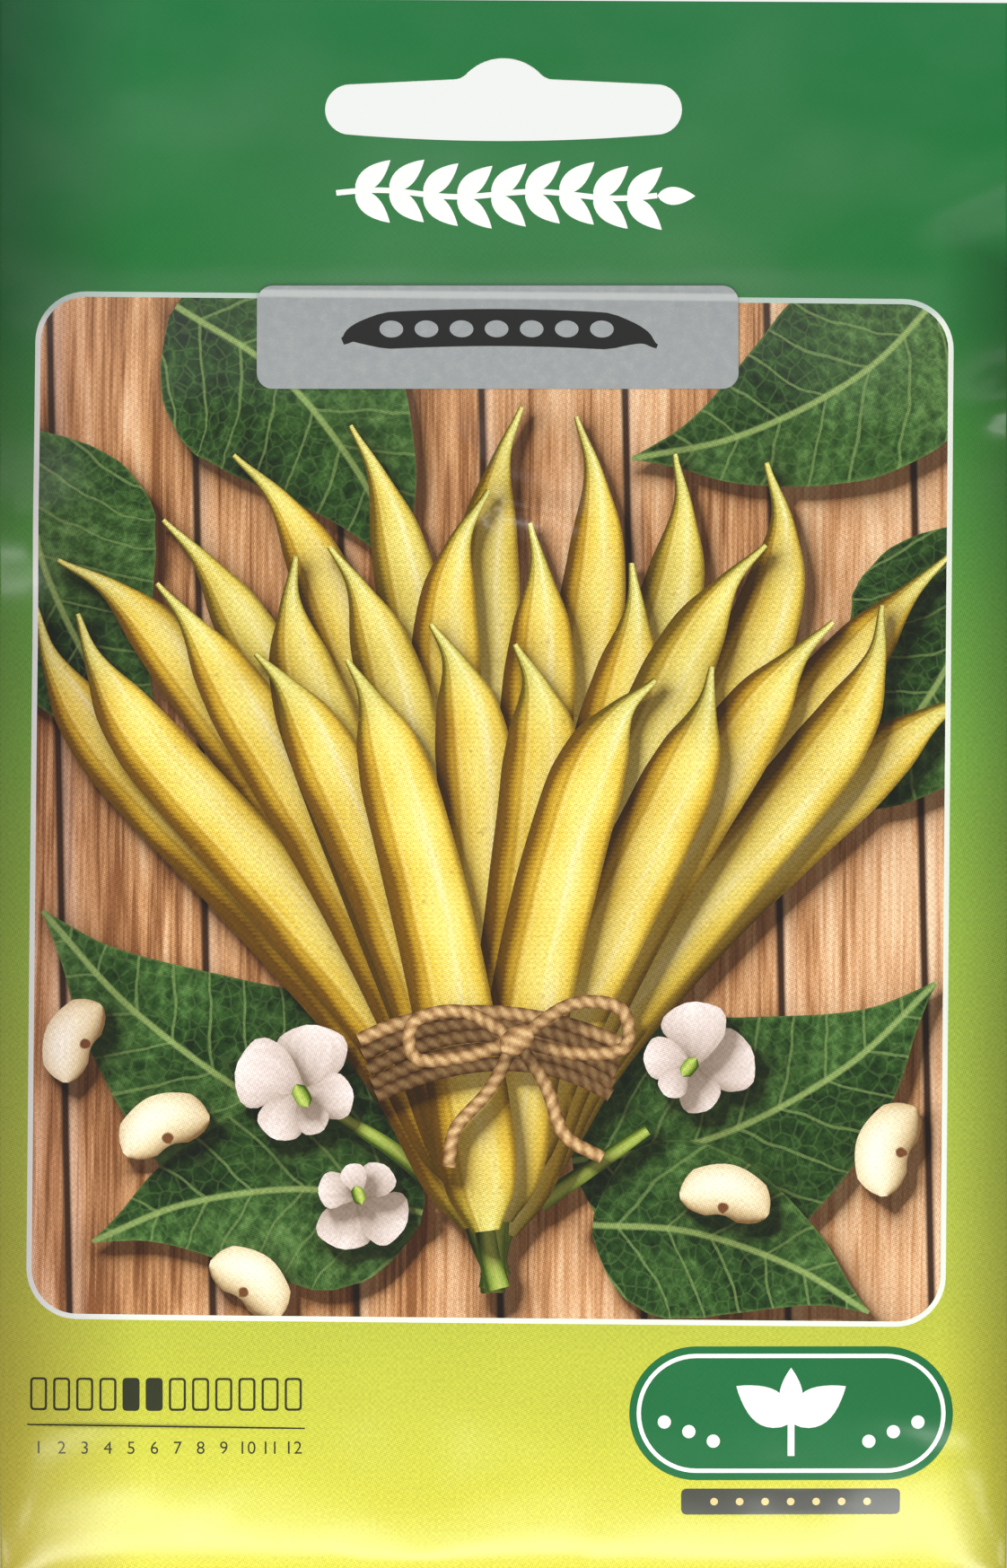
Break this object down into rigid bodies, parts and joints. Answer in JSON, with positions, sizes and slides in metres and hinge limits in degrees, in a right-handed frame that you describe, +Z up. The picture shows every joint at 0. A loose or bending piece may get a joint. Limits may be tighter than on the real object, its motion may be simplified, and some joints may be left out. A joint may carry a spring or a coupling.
{
  "type": "seed packet",
  "caption": "Flat printed paper seed packet with a punched hang slot in its header, a lap seam, a turned-up bottom, a title label and loose bean seeds inside.",
  "frame": {"origin": "middle of the top of the hang slot, where a display peg bears, half way through the flat header", "axes": "the packet hangs upright: +X to the right seen from the front, the front faces -Y, +Z up"},
  "size_m": [0.095, 0.009, 0.1488],
  "materials": {
    "printed_paper": "gloss coated, printed",
    "label_paper": "satin",
    "seed_coat": "satin"
  },
  "bodies": {
    "root": {"packet_body": "printed_paper", "title_label": "label_paper", "bean_seed_01": "seed_coat", "bean_seed_02": "seed_coat", "bean_seed_03": "seed_coat", "bean_seed_04": "seed_coat", "bean_seed_05": "seed_coat", "bean_seed_06": "seed_coat", "bean_seed_07": "seed_coat", "bean_seed_08": "seed_coat", "bean_seed_09": "seed_coat", "bean_seed_10": "seed_coat", "bean_seed_11": "seed_coat", "bean_seed_12": "seed_coat", "bean_seed_13": "seed_coat", "bean_seed_14": "seed_coat", "bean_seed_15": "seed_coat", "bean_seed_16": "seed_coat", "bean_seed_17": "seed_coat", "bean_seed_18": "seed_coat", "bean_seed_19": "seed_coat", "bean_seed_20": "seed_coat"}
  },
  "joints": []
}
